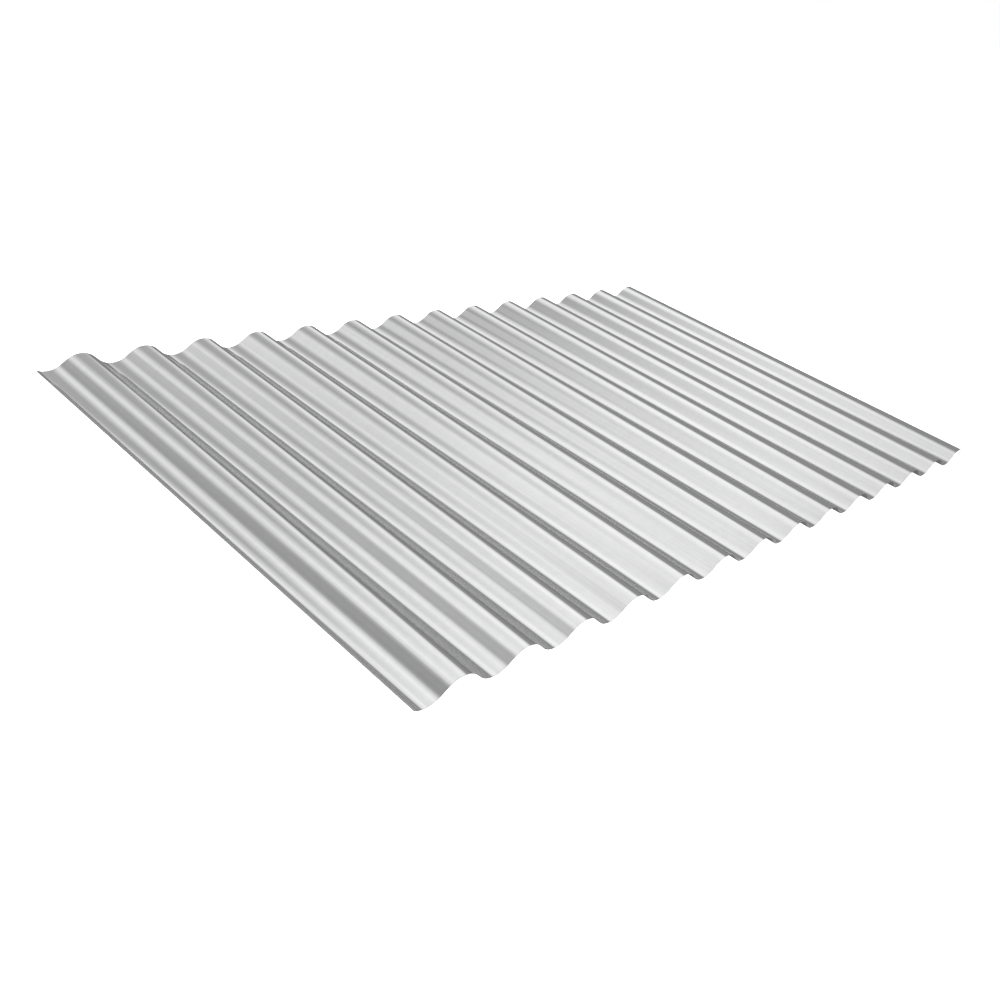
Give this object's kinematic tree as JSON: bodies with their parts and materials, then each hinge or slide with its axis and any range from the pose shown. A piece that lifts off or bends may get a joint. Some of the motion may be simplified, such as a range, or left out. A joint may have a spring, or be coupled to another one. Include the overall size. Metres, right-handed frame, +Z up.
{
  "type": "corrugated metal sheet",
  "caption": "Flat-lying sheet of bare galvanised steel, roll-formed into even round corrugations, cut square at both ends and slit straight along both sides.",
  "frame": {"origin": "middle of the sheet's footprint, on the surface its troughs lie on", "axes": "+X across the waves, from the left edge that turns up towards the right edge that turns down; +Y along the waves; +Z up, out of the face that sheds the rain"},
  "size_m": [1.0498, 0.61, 0.017],
  "materials": {
    "zinc_sheet": "bare galvanised steel, smooth and bright, with faint roll lines along the waves"
  },
  "bodies": {
    "root": {"sheet": "zinc_sheet"}
  },
  "joints": []
}
